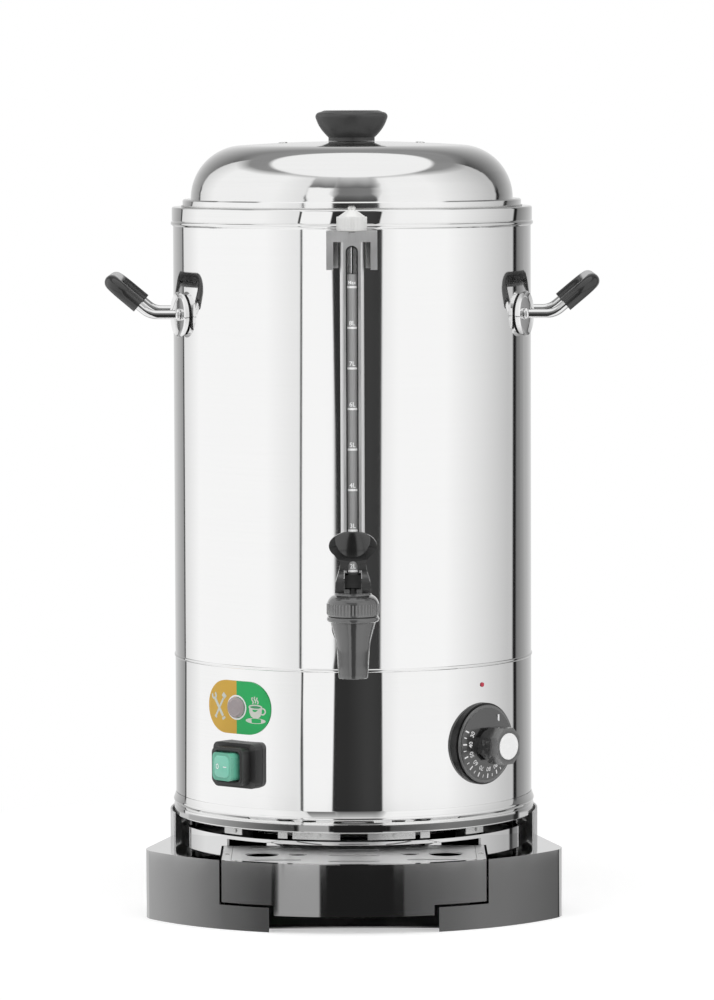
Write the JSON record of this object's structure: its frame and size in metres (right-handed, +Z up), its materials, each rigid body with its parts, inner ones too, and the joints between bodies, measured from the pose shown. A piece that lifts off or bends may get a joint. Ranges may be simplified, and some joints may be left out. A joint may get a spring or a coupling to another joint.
{
  "type": "hot water urn",
  "caption": "Double-walled steel water urn with domed lid, lever tap, level gauge, thermostat dial and rocker switch, on a base with a sliding drip tray.",
  "frame": {"origin": "on the urn's vertical axis, in the plane that the base stands on", "axes": "+Z up; the tap faces -Y; +X to the right of someone who faces the tap"},
  "size_m": [0.3296, 0.306, 0.5299],
  "materials": {
    "base_steel": "satin stainless sheet",
    "jacket_steel": "fine satin stainless sheet",
    "lid_steel": "bright spun stainless sheet",
    "pot_steel": "plain stainless sheet",
    "polished_steel": "polished",
    "plated_steel": "zinc plated",
    "element_sheath": "dark oxidised sheath",
    "copper_tube": "drawn copper",
    "brass_fitting": "turned brass",
    "ceramic_body": "unglazed steatite",
    "black_matte_plastic": "fine moulded texture",
    "tap_plastic": "polished black moulding",
    "grip_plastic": "glossy black sleeve",
    "knob_plastic": "satin black moulding",
    "dial_plastic": "dark grey moulding",
    "white_plastic": "smooth white cap",
    "cap_nylon": "milky moulded nylon",
    "green_rocker": "translucent teal moulding",
    "indicator_film": "printed plate, one half orange and one half green",
    "lamp_lens": "clear faceted lens",
    "red_dot": "printed dot",
    "clear_tube": "clear tube",
    "silicone_seal": "food grade silicone",
    "gasket_rubber": "black gasket",
    "foot_rubber": "soft foot"
  },
  "bodies": {
    "stand": {"stand_shell": "base_steel", "stand_back": "base_steel", "stand_floor": "base_steel", "stand_ring": "base_steel", "tray_runners": "base_steel"},
    "urn": {"base_ring": "jacket_steel", "base_plate": "base_steel", "base_lugs": "plated_steel", "base_screws": "plated_steel", "urn_feet": "foot_rubber", "heater_housing": "jacket_steel", "outer_jacket": "jacket_steel", "rim_band": "jacket_steel", "inner_pot": "pot_steel", "pot_floor": "pot_steel", "heating_element": "element_sheath", "element_clamps": "plated_steel", "thermal_cutout": "black_matte_plastic", "thermostat": "ceramic_body", "sensor_bulb": "copper_tube", "terminal_block": "ceramic_body", "mains_inlet": "black_matte_plastic", "inlet_pins": "brass_fitting", "switch_body": "black_matte_plastic", "indicator_plate": "indicator_film", "indicator_lamp": "lamp_lens", "lamp_body": "ceramic_body", "dial_ring": "black_matte_plastic", "index_dot": "red_dot", "gauge_tube": "clear_tube", "gauge_guard": "polished_steel", "gauge_bracket": "polished_steel", "gauge_seals": "silicone_seal", "gauge_nut": "polished_steel", "tap_body": "tap_plastic", "tap_washers": "silicone_seal", "tap_nut": "brass_fitting", "tap_bonnet": "tap_plastic", "tap_spring": "plated_steel", "handle_rods": "polished_steel", "handle_grips": "grip_plastic", "handle_escutcheons": "polished_steel", "handle_gaskets": "gasket_rubber", "handle_nuts": "plated_steel"},
    "lid": {"lid_dome": "lid_steel", "lid_flange": "lid_steel", "lid_knob": "knob_plastic", "lid_screw": "plated_steel"},
    "gauge_top": {"gauge_cap": "cap_nylon"},
    "stem": {"tap_stem": "plated_steel", "seat_cup": "silicone_seal", "tap_pin": "plated_steel"},
    "lever": {"tap_lever": "tap_plastic"},
    "dial": {"dial_knob": "dial_plastic", "dial_cap": "white_plastic", "dial_spindle": "plated_steel"},
    "rocker": {"switch_rocker": "green_rocker"},
    "tray": {"tray_pan": "base_steel", "tray_strips": "base_steel", "tray_rivets": "plated_steel"},
    "grille": {"drip_grille": "base_steel"}
  },
  "joints": [
    {"name": "urn_lift", "type": "slide", "parent": "stand", "child": "urn", "axis": [0, 0, 1], "range_m": [0, 0.15]},
    {"name": "lid_lift", "type": "slide", "parent": "urn", "child": "lid", "axis": [0, 0, 1], "range_m": [0, 0.1]},
    {"name": "gauge_cap_lift", "type": "slide", "parent": "urn", "child": "gauge_top", "axis": [0, 0, 1], "range_m": [0, 0.03]},
    {"name": "stem_lift", "type": "slide", "parent": "urn", "child": "stem", "axis": [0, 0, 1], "range_m": [0, 0.0035], "stiffness_N_per_m": 15, "springref_m": -0.01, "deforming": ["tap_spring"]},
    {"name": "lever_tilt", "type": "hinge", "parent": "stem", "child": "lever", "pos_m": [0, -0.165, 0.228], "axis": [1, 0, 0], "range_deg": [0, 42]},
    {"name": "dial_turn", "type": "hinge", "parent": "urn", "child": "dial", "pos_m": [0.08485, -0.08485, 0.113], "axis": [0.7071, -0.7071, 0], "range_deg": [-250, 0]},
    {"name": "rocker_tilt", "type": "hinge", "parent": "urn", "child": "rocker", "pos_m": [-0.0803, -0.10096, 0.1008], "axis": [0, 0, 1], "range_deg": [0, 18]},
    {"name": "tray_slide", "type": "slide", "parent": "stand", "child": "tray", "axis": [0, -1, 0], "range_m": [0, 0.09]},
    {"name": "grille_lift", "type": "slide", "parent": "tray", "child": "grille", "axis": [0, 0, 1], "range_m": [0, 0.004]}
  ],
  "couplings": [
    {"joint": "lever_tilt", "follows": "stem_lift", "rad_per_m": 196.08}
  ]
}
